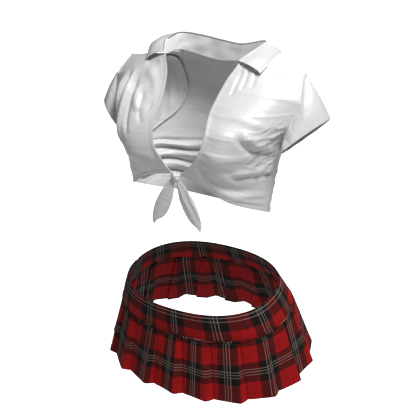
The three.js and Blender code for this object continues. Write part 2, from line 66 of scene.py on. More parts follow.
# The check repeats every sett and its dark band is centred 21 mm into one. Each pair in a list of columns is a
# place on the way round, from the wearer's front, and the number of the sett whose dark band falls there.
SETT = 80.0
BAND_MIDDLE = 21.0
YOKE_ROW_STRETCH = 1.25
YOKE_ROW_START = 24.6
YOKE_COLUMNS = [(-0.055, -2), (0.002, -1), (0.092, 0), (0.195, 1), (0.27, 2), (0.379, 3.4), (0.441, 4.4),
                (0.495, 5), (0.576, 6), (0.675, 7), (0.945, 10)]


def smooth(points, share):
    """A uniform Catmull-Rom curve: between two points it is the cubic whose slope at each one is half the
    step between its neighbours, and past the two ends the first and last steps are repeated."""
    points = np.asarray(points, float)
    padded = np.concatenate([[2 * points[0] - points[1]], points, [2 * points[-1] - points[-2]]])
    place = np.clip(np.asarray(share, float), 0, 1) * (len(points) - 1)
    first = np.minimum(place.astype(int), len(points) - 2)
    t = (place - first).reshape(place.shape + (1,) * (points.ndim - 1))
    a, b, c, d = (padded[first + k] for k in range(4))
    return 0.5 * (2 * b + (c - a) * t + (2 * a - 5 * b + 4 * c - d) * t**2 + (3 * b - a - 3 * c + d) * t**3)


def ring(size):
    """A level oval round the body: half width and half depth to the power of the squareness add up as in a
    superellipse, and height rises with y. Returns its point at a share of its length, and its length."""
    angle = np.linspace(0, 2 * np.pi, 1441)
    sides = np.abs(np.sin(angle) / size["width"]) ** RING_SQUARENESS
    front = np.abs(np.cos(angle) / size["depth"]) ** RING_SQUARENESS
    radius = (sides + front) ** (-1 / RING_SQUARENESS)
    y = size["middle"] - radius * np.cos(angle)
    line = np.stack([radius * np.sin(angle), y, size["height"] + size["rise"] * y], axis=1)
    length = np.concatenate([[0], np.cumsum(np.linalg.norm(np.diff(line, axis=0), axis=1))])

    def at(share):
        target = np.mod(share, 1) * length[-1]
        return np.stack([np.interp(target, length, line[:, k]) for k in range(3)], axis=-1)

    return at, length[-1]


def level_outward(at, share):
    """The level direction that points out of a ring."""
    along = at(share + 1e-3) - at(share - 1e-3)
    out = np.stack([along[..., 1], -along[..., 0], np.zeros_like(along[..., 0])], axis=-1)
    return out / np.linalg.norm(out, axis=-1, keepdims=True)


def normals(grid):
    """The unit normals of a grid of points: the column direction crossed with the row direction."""
    out = np.cross(np.gradient(grid, axis=1), np.gradient(grid, axis=0))
    return out / np.maximum(np.linalg.norm(out, axis=-1, keepdims=True), 1e-9)


def grid_faces(grid):
    """The number of each point of a grid, and the four corners of each face, anticlockwise from outside."""
    rows, columns = grid.shape[:2]
    number = np.arange(rows * columns).reshape(rows, columns)
    corners = [number[:-1, :-1], number[:-1, 1:], number[1:, 1:], number[1:, :-1]]
    return number, np.stack(corners, axis=-1).reshape(-1, 4)


def put_in_scene(name, data):
    """A new object at the origin that holds the given mesh, light or camera."""
    thing = bpy.data.objects.new(name, data)
    bpy.context.collection.objects.link(thing)
    return thing


def cloth_piece(name, grid, places, inner, outer, material, closed=False):
    """One piece of cloth with a real thickness: the grid is moved out along its normals by `outer` and by
    `inner` to give its two faces, and a rim joins them. `places` holds each point's place on the flat cloth,
    across and along, in millimetres, and becomes the UV map. A closed piece's last column is its first."""
    rows, columns = grid.shape[:2]
    face = normals(grid)
    if closed:
        ends = face[:, 0] + face[:, -1]
        face[:, 0] = face[:, -1] = ends / np.linalg.norm(ends, axis=-1, keepdims=True)
    inner = np.broadcast_to(inner, (rows, columns))[..., None]
    outer = np.broadcast_to(outer, (rows, columns))[..., None]
    points = np.stack([grid + face * outer, grid + face * inner]).reshape(-1, 3) / 1000
    number, near = grid_faces(grid)
    owner = number.copy()
    if closed:
        owner[:, -1] = owner[:, 0]
    edges = [(number[0, :-1], number[0, 1:]), (number[-1, 1:], number[-1, :-1])]
    if not closed:
        edges += [(number[1:, 0], number[:-1, 0]), (number[:-1, -1], number[1:, -1])]
    far = rows * columns
    rim = [np.stack([b, a, a + far, b + far], axis=-1) for a, b in edges]
    corners = np.concatenate([near, near[:, ::-1] + far, *rim])
    owners = np.concatenate([owner.ravel(), owner.ravel() + far])
    used, faces = np.unique(owners[corners], return_inverse=True)
    mesh = bpy.data.meshes.new(name)
    mesh.from_pydata(points[used], [], faces.reshape(-1, 4))
    flat = np.asarray(places, float).reshape(-1, 2) / 1000
    layer = mesh.uv_layers.new(name="cloth")
    layer.uv.foreach_set("vector", flat[corners.ravel() % far].ravel())
    mesh.shade_smooth()
    mesh.set_sharp_from_angle(angle=math.radians(50))
    mesh.materials.append(material)
    return put_in_scene(name, mesh)


def turned_edge(covered, from_stitches, thicker, sunk, thread):
    """What a turned and stitched edge adds to the cloth's thickness: `thicker` where it is covered, less a
    groove `sunk` deep along the stitches, which is a bell curve about as wide as the thread."""
    return thicker * covered - sunk * np.exp(-((from_stitches / thread) ** 2))


def lengths(grid):
    """The distances along a grid's middle row and middle column, in millimetres."""
    rows, columns = grid.shape[:2]
    across = np.linalg.norm(np.diff(grid[rows // 2], axis=0), axis=1).sum()
    along = np.linalg.norm(np.diff(grid[:, columns // 2], axis=0), axis=1).sum()
    return across, along


def colour(text):
    """Turns an sRGB hex colour into the linear one that a shader uses."""
    values = [int(text[i:i + 2], 16) / 255 for i in (1, 3, 5)]
    return [v / 12.92 if v <= 0.04045 else ((v + 0.055) / 1.055) ** 2.4 for v in values] + [1]


def add_node(material, kind, settings=None, inputs=None):
    """Adds one node with its settings, and fills its inputs with values or with links to other sockets."""
    node = material.node_tree.nodes.new(kind)
    for name, value in (settings or {}).items():
        setattr(node, name, value)
    for name, value in (inputs or {}).items():
        if isinstance(value, bpy.types.NodeSocket):
            material.node_tree.links.new(value, node.inputs[name])
        else:
            node.inputs[name].default_value = value
    return node


def new_material(name, **shader):
    """A material whose Principled shader has the given sockets set. Returns it with the shader's node."""
    material = bpy.data.materials.new(name)
    material.use_nodes = True
    node = material.node_tree.nodes["Principled BSDF"]
    for socket, value in shader.items():
        node.inputs[socket.replace("_", " ")].default_value = value
    return material, node


def wool_tartan(name, brightness):
    """Worsted wool twill in a black and red check: each stripe runs in the warp and in the weft, and a 2/2
    twill shows half of each, so a stripe is solid only where it crosses itself. That gives the eye bright red
    squares, near-black ones, and a dull maroon where the two mix, with thin pale lines that are strongest on
    the black. A stripe's number is where it starts, in millimetres into the sett."""
    material, shader = new_material(name, Roughness=0.8)
    shader.inputs["Specular IOR Level"].default_value = 0.12
    cloth = add_node(material, "ShaderNodeUVMap", {"uv_map": "cloth"}).outputs[0]
    setts = add_node(material, "ShaderNodeVectorMath", {"operation": "SCALE"}, {
        0: cloth, "Scale": 1000 / SETT})
    whole = add_node(material, "ShaderNodeVectorMath", {"operation": "FRACTION"}, {0: setts.outputs[0]})
    place = add_node(material, "ShaderNodeSeparateXYZ", None, {0: whole.outputs[0]})
    band, line, faint, ground = (1, 0, 0, 1), (1, 1, 0, 1), (0, 0, 1, 1), (0, 0, 0, 1)
    stripes = [(0, band), (14.5, line), (15.6, band), (20.5, line), (21.6, band), (26.5, line), (27.6, band),
               (42, ground), (54, faint), (55.5, ground), (66.5, faint), (68, ground)]
    parts = []
    for direction in (0, 1):
        ramp = add_node(material, "ShaderNodeValToRGB", None, {0: place.outputs[direction]})
        ramp.color_ramp.interpolation = "CONSTANT"
        elements = ramp.color_ramp.elements
        for index, (start, value) in enumerate(stripes):
            stop = elements[index] if index < 2 else elements.new(start / SETT)
            stop.position = start / SETT
            stop.color = value
        parts.append(add_node(material, "ShaderNodeSeparateColor", None, {0: ramp.outputs[0]}).outputs)

    def maths(operation, first, second=0.0, third=0.0):
        """The result of one sum on values or sockets."""
        node = add_node(material, "ShaderNodeMath", {"operation": operation}, {0: first, 1: second, 2: third})
        return node.outputs[0]

    # The twill's ribs run at 45 degrees. Real threads are 0.4 mm apart and these are twice as coarse, to show.
    thread = add_node(material, "ShaderNodeVectorMath", {"operation": "SCALE"}, {
        0: cloth, "Scale": 1000 / 0.8})
    step = add_node(material, "ShaderNodeSeparateXYZ", None, {0: thread.outputs[0]})
    rib = maths("FRACT", maths("MULTIPLY", maths("ADD", step.outputs[0], step.outputs[1]), 0.25))
    warp_shows = maths("MULTIPLY_ADD", maths("GREATER_THAN", rib, 0.5), 0.5, 0.5)
    weft_shows = maths("SUBTRACT", 1.5, warp_shows)
    shown = []
    for channel in (0, 1, 2):
        warp = maths("MULTIPLY", parts[0][channel], warp_shows)
        weft = maths("MULTIPLY", parts[1][channel], weft_shows)
        shown.append((warp, weft))
    light_left = maths("MULTIPLY", maths("MULTIPLY_ADD", shown[0][0], -0.98, 1.0),
                       maths("MULTIPLY_ADD", shown[0][1], -0.98, 1.0))
    faint_left = maths("MULTIPLY_ADD", maths("ADD", shown[2][0], shown[2][1]), -0.35, 1.0)
    red_share = maths("MULTIPLY", light_left, faint_left)
    body = add_node(material, "ShaderNodeMix", {"data_type": "RGBA"}, {
        0: red_share, 6: colour("#141211"), 7: colour("#9c1214")})
    pale = maths("MULTIPLY", maths("MAXIMUM", shown[1][0], shown[1][1]), 0.5)
    lined = add_node(material, "ShaderNodeMix", {"data_type": "RGBA"}, {
        0: pale, 6: body.outputs[2], 7: colour("#bab2a6")})
    wear = add_node(material, "ShaderNodeTexNoise", None, {"Vector": cloth, "Scale": 45.0, "Detail": 4.0})
    shade = maths("MULTIPLY_ADD", wear.outputs[0], 0.5, brightness - 0.25)
    toned = add_node(material, "ShaderNodeHueSaturation", None, {"Value": shade, "Color": lined.outputs[2]})
    material.node_tree.links.new(toned.outputs[0], shader.inputs["Base Color"])
    fibre = add_node(material, "ShaderNodeTexNoise", None, {"Vector": cloth, "Scale": 1400.0, "Detail": 2.0})
    height = maths("MULTIPLY_ADD", fibre.outputs[0], 0.6, rib)
    bump = add_node(material, "ShaderNodeBump", None, {
        "Strength": 0.25, "Distance": 0.0003, "Height": height})
    material.node_tree.links.new(bump.outputs[0], shader.inputs["Normal"])
    return material


def tartan_across(columns, share):
    """Where a share of the way round lies on the cloth, so that the listed columns fall in their places: it is
    straight lines between them, and they repeat once round."""
    starts, counts = (np.array(values, float) for values in zip(*columns))
    turn = counts[-1] - counts[0]
    shares = np.concatenate([starts - 1, starts, starts + 1])
    numbers = np.concatenate([counts - turn, counts, counts + turn])
    shares, keep = np.unique(shares, return_index=True)
    return np.interp(share, shares, numbers[keep]) * SETT + BAND_MIDDLE


tartan = wool_tartan("wool twill tartan", 1.0)
waist_at, waist_length = ring(WAIST)
hip_at, hip_length = ring(HIP)
yoke_height = WAIST["height"] - HIP["height"]
slot_share = ZIP_SLOT / 2 / waist_length


def yoke_grid(start, stop, low, high, columns, rows):
    """The yoke's ruled surface, straight from the hip ring up to the waist ring, with the share of the way
    round and the share of the height of each point."""
    share, v = np.meshgrid(np.linspace(start, stop, columns), np.linspace(low, high, rows))
    grid = hip_at(share) + (waist_at(share) - hip_at(share)) * v[..., None]
    return grid, share, v


def yoke_places(share, v):
    """The yoke's place on the cloth: the columns follow the rulings and the rows run level from the waist."""
    down = (1 - v) * yoke_height
    return np.stack([tartan_across(YOKE_COLUMNS, share), YOKE_ROW_START - down / YOKE_ROW_STRETCH], axis=-1)


def build_yoke_panel(name, start, stop):
    """The ruled surface swells over the hip by half a sine wave, and the hip seam draws in its lower edge."""
    low = (CORD_RADIUS + LAYER_GAP - YOKE_TUCK) / yoke_height
    grid, share, v = yoke_grid(start, stop, low, 1.0, 281, 46)
    swell = (YOKE_SWELL + YOKE_EASE * np.sin(share * 61 + 3 * v)) * np.sin(np.pi * v)
    tuck = -0.6 * np.exp(-((v - low) * yoke_height / 2.2) ** 2)
    grid = grid + normals(grid) * (swell + tuck)[..., None]
    down = (1 - v) * yoke_height
    turned = turned_edge(down < YOKE_TURNED, down - YOKE_TURNED, 0.25, 0.35, 0.6)
    piece = cloth_piece(name, grid, yoke_places(share, v), 0.0, CLOTH + turned, tartan)
    return piece


yoke_front = build_yoke_panel("yoke_front_cloth", ZIP_SHARE - 1 + slot_share, SIDE_SHARE)
yoke_back = build_yoke_panel("yoke_back_cloth", SIDE_SHARE, ZIP_SHARE - slot_share)
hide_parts("yoke_front")
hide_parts("yoke_back")
for panel in (yoke_front, yoke_back):
    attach(panel, "skirt")

# ---------------------------------------------------------------- the yoke's lining
# A strip of the same tartan, sewn to the top edge and turned to the inside, where it stops each side of the
# zip.
FACING_DEPTH = 46.0
ZIP_TAPE = 12.0
LINING_OUT = -1.5 * LAYER_GAP


def build_lining():
    """The top part of the yoke's ruled surface, lying a little inside the yoke."""
    tape_share = (ZIP_SLOT / 2 + ZIP_TAPE) / waist_length
    low = 1 - FACING_DEPTH / yoke_height
    grid, share, v = yoke_grid(ZIP_SHARE - 1 + tape_share, ZIP_SHARE - tape_share, low, 1.0, 441, 36)
    places = yoke_places(share, v)
    piece = cloth_piece("yoke_lining_cloth", grid, places, LINING_OUT - CLOTH, LINING_OUT, tartan)
    return piece


lining = build_lining()
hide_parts("yoke_lining")
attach(lining, "skirt")

# ---------------------------------------------------------------- the corded seam
# A cord covered in a bias strip of the tartan, sewn in between the yoke and the pleats. On the bias the pale
# lines cross it at a slant, so it shows as short light and dark dashes.
PIPING_LIFT = 0.9
PIPING_RADIUS = CORD_RADIUS + 0.25
BIAS_MIDDLE = 8.0


def tube_grid(line, out, up, turn):
    """A round tube along a line: at each point of the line a circle in the plane of `out` and `up`. Rows run
    round the tube, at the angles in `turn`, and columns along it."""
    circle = np.cos(turn)[:, None, None] * out + np.sin(turn)[:, None, None] * up
    return line[None] + PIPING_RADIUS * circle


def solid_from_grid(name, grid, places, material):
    """A closed body from a grid whose first and last rows are the same line, with one face over its first
    column and one over its last."""
    number, quads = grid_faces(grid)
    owner = number.copy()
    owner[-1] = owner[0]
    ends = [number[:-1, 0], number[:-1, -1][::-1]]
    faces = owner.ravel()[quads].tolist() + [end.tolist() for end in ends]
    mesh = bpy.data.meshes.new(name)
    mesh.from_pydata(grid.reshape(-1, 3) / 1000, [], faces)
    flat = np.asarray(places, float).reshape(-1, 2) / 1000
    wanted = np.concatenate([quads.ravel(), *ends])
    mesh.uv_layers.new(name="cloth").uv.foreach_set("vector", flat[wanted].ravel())
    work = bmesh.new()
    work.from_mesh(mesh)
    bmesh.ops.delete(work, geom=[v for v in work.verts if not v.link_faces], context="VERTS")
    bmesh.ops.recalc_face_normals(work, faces=work.faces)
    work.to_mesh(mesh)
    work.free()
    mesh.shade_smooth()
    mesh.set_sharp_from_angle(angle=math.radians(55))
    mesh.materials.append(material)
    return put_in_scene(name, mesh)


def build_piping():
    """A tube along the hip ring, lifted out so that it stands proud. Its cloth wanders a little along the
    check's dark band, by a slow sine wave."""
    share = np.linspace(ZIP_SHARE - 1 + slot_share, ZIP_SHARE - slot_share, 640)
    out = level_outward(hip_at, share)
    line = hip_at(share) + out * (CLOTH / 2 + PIPING_LIFT)
    along = np.gradient(line, axis=0)
    along /= np.linalg.norm(along, axis=1, keepdims=True)
    up = np.cross(out, along)
    turn = np.linspace(0, 2 * np.pi, 17)
    grid = tube_grid(line, out, up, turn)
    run, around = np.meshgrid(share * hip_length, turn * PIPING_RADIUS)
    places = np.stack([run, BIAS_MIDDLE + 5 * np.sin(run / 29) + around], axis=-1)
    return solid_from_grid("hip_seam_piping", grid, places, tartan)


piping = build_piping()
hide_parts("hip_seam_cord")
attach(piping, "skirt")

# ---------------------------------------------------------------- the pleats
# Eighteen knife pleats of the same cloth, all turned one way and pressed, and folded so that the check seems
# to run on from pleat to pleat. They are stitched into the hip seam and swing free below it, and the hem is
# turned up and stitched.
HEM = {"width": 190.0, "depth": 150.0, "middle": 31.9, "height": -170.0, "rise": 0.069}
PLEAT_COUNT = 18
PLEAT_TURN = 0.375
PLEAT_RIDGE = 0.76
PLEAT_LIFT = (1.6, 11.0)
UNDERLAP = (5.0, 24.0)
PLEAT_DROP = CORD_RADIUS + 2 * LAYER_GAP
PLEAT_SEWN_IN = 3.2
PLEAT_TUCK = CLOTH + 2 * LAYER_GAP
PLEAT_LENGTH = 116.0
PLEAT_HEM = 110.0
PRESSED_IN = 1.7
PRESSED_OVER = 4.0
# Along the hem, places are counted in pleats from the wearer's front, and thirteen setts go round. The rows
# give how far down the pleat, and where that is on the cloth.
PLEAT_SETTS = 13
PLEAT_COLUMNS = [(-1.32, -2), (0.37, 0), (1.48, 1), (2.85, 2), (4.15, 3), (7.5, 5), (9.55, 6), (10.66, 7),
                 (12.4, 8)]
PLEAT_ROWS = [[0, 12.5, 64, 140], [91.5, 80, 21, -61]]
CHECK_LEAN = 7.0
hem_at, hem_length = ring(HEM)
generator = np.random.default_rng(7)


def pleat_grid(index, rows=58):
    """One pleat. In plan its face rises to the fold, the return drops behind the next pleat, and the underlap
    goes on behind it. Down the skirt it is the straight line from the hip ring to the hem ring, with the lift
    of the fold growing, a soft hollow in its face and a roll at the fold."""
    face = np.linspace(0, 1, 34)
    station = np.concatenate([face, 1 + np.linspace(0, 1, 9)[1:]])
    station, v = np.meshgrid(station, np.linspace(0, 1, rows))
    drop = 1 - v
    ease = drop**0.85
    lift = PLEAT_LIFT[0] + (PLEAT_LIFT[1] - PLEAT_LIFT[0]) * ease
    underlap = UNDERLAP[0] + (UNDERLAP[1] - UNDERLAP[0]) * drop
    perimeter = hip_length + (hem_length - hip_length) * drop
    rising = np.clip(station / PLEAT_RIDGE, 0, 1)
    falling = np.clip((1 - station) / (1 - PLEAT_RIDGE), 0, 1)
    fold = np.where(station < PLEAT_RIDGE, rising, falling)
    rounded = fold - 0.05 * np.exp(-((station - PLEAT_RIDGE) / 0.035) ** 2)
    hollow = -0.14 * np.sin(np.pi * rising) * (station < PLEAT_RIDGE)
    sway = generator.uniform(-1, 1, 4)
    waves = 0.9 * sway[0] * np.sin(np.pi * drop * 1.3 + sway[1]) * np.sin(np.pi * np.clip(station, 0, 1))
    sunk = np.clip((station - PLEAT_RIDGE) / (1 - PLEAT_RIDGE), 0, 1) * PLEAT_TUCK
    share = (index + PLEAT_TURN + np.minimum(station, 1)) / PLEAT_COUNT
    share = share + np.maximum(station - 1, 0) * underlap / perimeter
    top = hip_at(share) - [0, 0, PLEAT_DROP - PLEAT_SEWN_IN]
    grid = top + (hem_at(share) - top) * drop[..., None]
    out = (rounded + hollow) * lift + waves * drop - sunk
    pressed = PRESSED_IN * np.exp(-((drop * PLEAT_LENGTH / PRESSED_OVER) ** 2))
    grid = grid + level_outward(hem_at, share) * (out - pressed)[..., None]
    return grid, station, drop


def build_pleat(index):
    """One pleat with its check: the columns run down it, leaning a little, and the hidden part of the cloth
    is taken in, so that the next pleat's check carries on."""
    grid, station, drop = pleat_grid(index)
    down = drop * np.linalg.norm(grid[0, 0] - grid[-1, 0])
    visible = index + np.minimum(station, 1) + np.maximum(station - 1, 0) * 0.3
    starts, counts = (np.array(values, float) for values in zip(*PLEAT_COLUMNS))
    starts = np.concatenate([starts, [starts[0] + PLEAT_COUNT], starts[1:] + PLEAT_COUNT])
    counts = np.concatenate([counts, counts + PLEAT_SETTS])
    column = np.interp(np.mod(visible - starts[0], PLEAT_COUNT) + starts[0], starts, counts)
    across = column * SETT + BAND_MIDDLE + CHECK_LEAN * (drop - 0.3)
    places = np.stack([across, np.interp(down, *PLEAT_ROWS)], axis=-1)
    hem = turned_edge(down > PLEAT_HEM, down - PLEAT_HEM, 0.35, 0.3, 0.7)
    name = f"pleat_{index + 1:02d}_cloth"
    piece = cloth_piece(name, grid, places, 0.0, CLOTH + hem * (station < 1), tartan)
    node = f"pleat_{index + 1:02d}"
    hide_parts(node)
    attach(piece, node)


for number in range(PLEAT_COUNT):
    build_pleat(number)

# ---------------------------------------------------------------- the side zip
# A lightweight metal zip at the wearer's right: two woven tapes stitched inside the yoke's edges, a row of
# stamped teeth on each, a slider with a hanging pull, and a bottom stop.
ZIP_LENGTH = 46.0
TEETH_WIDE = 1.9
TEETH_THICK = 1.6
SLIDER_WEB = 0.8
SLIDER_LONG = 8.0
RUNNING_GAP = 0.35
SLIDER_TOP = 5.0
TOOTH_PITCH = 2.0
TOOTH_LONG = 1.1
TAPE_THICK = 0.6
# The tapes run on past the teeth into the hip seam, and meet behind them with a hair's gap.
TAPE_EXTRA = 10.5
TAPE_TOP = 1.0
TAPE_MEETING = 0.2
TEETH_OFFSET = SLIDER_WEB / 2 + RUNNING_GAP + TEETH_WIDE / 2


def dark_nickel():
    """Zinc alloy with a dark nickel plate: smooth and a little worn, so its highlights are soft and slightly
    uneven."""
    material, shader = new_material("dark nickel plate", Metallic=1.0, Roughness=0.32)
    place = add_node(material, "ShaderNodeTexCoord").outputs["Object"]
    worn = add_node(material, "ShaderNodeTexNoise", None, {"Vector": place, "Scale": 900.0, "Detail": 4.0})
    tone = add_node(material, "ShaderNodeMix", {"data_type": "RGBA"}, {
        0: worn.outputs[0], 6: colour("#4d4e53"), 7: colour("#8d8e92")})
    material.node_tree.links.new(tone.outputs[2], shader.inputs["Base Color"])
    bump = add_node(material, "ShaderNodeBump", None, {
        "Strength": 0.15, "Distance": 0.0001, "Height": worn.outputs[0]})
    material.node_tree.links.new(bump.outputs[0], shader.inputs["Normal"])
    return material


def black_twill_tape():
    """Polyester tape in a fine herringbone: matt black, with ribs that catch a little light."""
    material, shader = new_material("black twill tape", Roughness=0.8)
    place = add_node(material, "ShaderNodeTexCoord").outputs["Object"]
    # Real ribs are 0.5 mm apart; these are 1 mm, to show.
    ribs = add_node(material, "ShaderNodeTexWave", {"bands_direction": "DIAGONAL"}, {
        "Vector": place, "Scale": 300.0, "Distortion": 1.0})
    tone = add_node(material, "ShaderNodeMix", {"data_type": "RGBA"}, {
        0: ribs.outputs[1], 6: colour("#141213"), 7: colour("#2c292a")})
    material.node_tree.links.new(tone.outputs[2], shader.inputs["Base Color"])
    bump = add_node(material, "ShaderNodeBump", None, {
        "Strength": 0.4, "Distance": 0.0002, "Height": ribs.outputs[1]})
    material.node_tree.links.new(bump.outputs[0], shader.inputs["Normal"])
    return material


metal = dark_nickel()
tape_cloth = black_twill_tape()
zip_low, zip_high = hip_at(np.array(ZIP_SHARE)), waist_at(np.array(ZIP_SHARE))
zip_up = (zip_high - zip_low) / np.linalg.norm(zip_high - zip_low)
zip_round = waist_at(np.array(ZIP_SHARE + 1e-3)) - waist_at(np.array(ZIP_SHARE - 1e-3))
zip_out = np.cross(zip_round, zip_up)
zip_out /= np.linalg.norm(zip_out)
zip_along = np.cross(zip_up, zip_out)


def zip_blocks(name, centres, half, material, taper=(1.0, 1.0)):
    """Repeats one eight-cornered block at each centre, given in the zip's own directions: along the waist, up
    and out. Its outer face is narrowed by the taper."""
    corners = np.array([[x, y, z] for z in (-1, 1) for x, y in ((-1, -1), (1, -1), (1, 1), (-1, 1))], float)
    corners[4:, :2] *= taper
    local = (corners * half)[None] + np.asarray(centres, float)[:, None]
    local = local.reshape(-1, 3)
    points = zip_high + local[:, :1] * zip_along + local[:, 1:2] * zip_up + local[:, 2:] * zip_out
    block = np.array([[0, 3, 2, 1], [4, 5, 6, 7], [0, 1, 5, 4], [1, 2, 6, 5], [2, 3, 7, 6], [3, 0, 4, 7]])
    faces = (block[None] + 8 * np.arange(len(centres))[:, None, None]).reshape(-1, 4)
    mesh = bpy.data.meshes.new(name)
    mesh.from_pydata(points / 1000, [], faces)
    mesh.materials.append(material)
    return put_in_scene(name, mesh)


tape_face = -((ZIP_SLOT / 2 + ZIP_TAPE) ** 2) / (2 * WAIST["depth"] ** 2 / WAIST["width"]) - LAYER_GAP
tape_edges = (TAPE_MEETING, TEETH_OFFSET + TEETH_WIDE / 2 + LAYER_GAP + ZIP_TAPE)
tape_half = [(tape_edges[1] - tape_edges[0]) / 2, (ZIP_LENGTH + TAPE_EXTRA) / 2, TAPE_THICK / 2]
tooth_count = int(ZIP_LENGTH / TOOTH_PITCH) - 1
tooth_half = [TEETH_WIDE / 2, TOOTH_LONG / 2, TEETH_THICK / 2]
for label, side, first in (("front", 1, 0.7), ("back", -1, 1.2)):
    up = -SLIDER_TOP + SLIDER_LONG / 2 - (np.arange(tooth_count) + first) * TOOTH_PITCH
    centres = np.stack([0 * up + side * TEETH_OFFSET, up, 0 * up + CLOTH / 2], axis=1)
    teeth = zip_blocks(f"zip_{label}_tooth_row", centres, tooth_half, metal, (0.86, 0.8))
    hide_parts(f"zip_teeth_{label}")
    middle = [side * sum(tape_edges) / 2, -TAPE_TOP - tape_half[1], tape_face - TAPE_THICK / 2]
    tape = zip_blocks(f"zip_{label}_tape", [middle], tape_half, tape_cloth)
    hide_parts(f"zip_tape_{label}")
    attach(teeth, "skirt")
    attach(tape, "skirt")
for node in ("zip_bottom_stop", "zip_slider", "zip_pull", "waist_hook", "waist_bar"):
    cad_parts[node].data.materials[0] = metal

# ---------------------------------------------------------------- the shirt's back
# One panel of white satin-faced cotton, cut to hang from the shoulders and cropped below the ribs. Drawn in by
# the tie at the front, it strains into level drag folds low on the back. The points run up each column, on the
# wearer's left.
NECK = {"left": [72, -5, 422], "right": [68, -5, 418]}
SHOULDER = {"left": [170, 38, 407], "right": [160, 38, 391]}
SIDE_SEAM = [[129, -12, 168], [134, -8, 205], [140, -5, 242], [146, -2, 276]]
ARMHOLE_FRONT = {"left": [[165, -14, 332], [181, 5, 366]], "right": [[163, -14, 328], [173, 6, 362]]}
ARMHOLE_BACK = {"left": [[153, 52, 322], [168, 60, 370]], "right": [[152, 52, 318], [162, 60, 360]]}
CENTRE_BACK = [[0, 71, 129], [0, 79, 182], [0, 88, 233], [0, 94, 288], [0, 93, 332], [0, 78, 372],
               [0, 62, 399]]
BACK_INNER = [[46, 68, 131], [47, 75, 184], [49, 84, 235], [51, 91, 288], [52, 90, 332], [56, 72, 384],
              [66, 48, 412]]
BACK_MIDDLE = [[88, 56, 137], [92, 62, 188], [95, 71, 238], [97, 79, 288], [98, 83, 332], [90, 60, 388]]
BACK_OUTER = [[117, 28, 148], [121, 35, 196], [126, 43, 242], [130, 52, 288], [130, 66, 328], [126, 60, 378]]
PANEL_TOP = 0.997
DRAG_HEIGHT = 5.4
DRAG_SPACING = 21.0


def white_cotton(name, tone, gloss):
    """White cotton sateen: a smooth warp-faced weave, bleached. The floats along the warp give a soft
    stretched highlight on each fold, and the yarn leaves a faint fine grain across it."""
    material, shader = new_material(name, Roughness=gloss, Sheen_Weight=0.04, Sheen_Roughness=0.4)
    shader.inputs["Specular IOR Level"].default_value = 0.5
    cloth = add_node(material, "ShaderNodeUVMap", {"uv_map": "cloth"}).outputs[0]
    # Real yarns are 0.25 mm apart; these run at 0.9 mm, so that the grain shows.
    spread = add_node(material, "ShaderNodeVectorMath", {"operation": "MULTIPLY"}, {
        0: cloth, 1: (260, 1100, 1)})
    yarn = add_node(material, "ShaderNodeTexNoise", None, {
        "Vector": spread.outputs[0], "Scale": 1.0, "Detail": 3.0})
    cloud = add_node(material, "ShaderNodeTexNoise", None, {"Vector": cloth, "Scale": 26.0, "Detail": 5.0})
    both = add_node(material, "ShaderNodeMath", {"operation": "MULTIPLY_ADD"}, {
        0: yarn.outputs[0], 1: 0.35, 2: cloud.outputs[0]})
    ramp = add_node(material, "ShaderNodeMapRange", None, {
        0: both.outputs[0], 1: 0.3, 2: 1.0, 3: 0.0, 4: 1.0})
    shade = add_node(material, "ShaderNodeMix", {"data_type": "RGBA"}, {
        0: ramp.outputs[0], 6: [v * 0.9 for v in tone[:3]] + [1], 7: tone})
    material.node_tree.links.new(shade.outputs[2], shader.inputs["Base Color"])
    # Fine pulled creases, 8 mm apart and ten times as long.
    drag = add_node(material, "ShaderNodeVectorMath", {"operation": "MULTIPLY"}, {0: cloth, 1: (14, 120, 1)})
    crease = add_node(material, "ShaderNodeTexNoise", None, {
        "Vector": drag.outputs[0], "Scale": 1.0, "Detail": 4.0})
    height = add_node(material, "ShaderNodeMath", {"operation": "MULTIPLY_ADD"}, {
        0: yarn.outputs[0], 1: 0.12, 2: crease.outputs[0]})
    bump = add_node(material, "ShaderNodeBump", None, {
        "Strength": 0.6, "Distance": 0.0014, "Height": height.outputs[0]})
    material.node_tree.links.new(bump.outputs[0], shader.inputs["Normal"])
    return material


def straight(points, share):
    """A line of straight stretches through points."""
    points = np.asarray(points, float)
    place = np.asarray(share, float) * (len(points) - 1)
    return np.stack([np.interp(place, np.arange(len(points)), points[:, k]) for k in range(3)], axis=-1)


def panel_grid(columns, seams, u, v):
    """A panel through its columns: each is a smooth line from the hem to the top, or a straight-stretched one
    where it is a seam, and a smooth line is then drawn across them at each height."""
    lines = [straight(points, v) if i in seams else smooth(points, v) for i, points in enumerate(columns)]
    return np.swapaxes(smooth(np.stack(lines), u), 0, 1)


def mirrored(points):
    """The same points on the wearer's right."""
    return [[-x, y, z] for x, y, z in points]


def half_back(side):
    """The back's columns from the side seam and armhole in to the middle, drawn on the wearer's left."""
    middle = ((np.array(NECK[side]) + np.array(SHOULDER[side])) / 2).tolist()
    seam = [*SIDE_SEAM, *ARMHOLE_BACK[side], SHOULDER[side]]
    return [seam, [*BACK_OUTER, middle], [*BACK_MIDDLE, NECK[side]], BACK_INNER]


back_columns = [*half_back("left"), CENTRE_BACK, *[mirrored(points) for points in half_back("right")][::-1]]
BACK_SEAMS = [0, len(back_columns) - 1]


def back_at(u, v):
    """One point of the back, at a share of its width and of its height."""
    return panel_grid(back_columns, BACK_SEAMS, np.array([u]), np.array([v]))[0, 0]


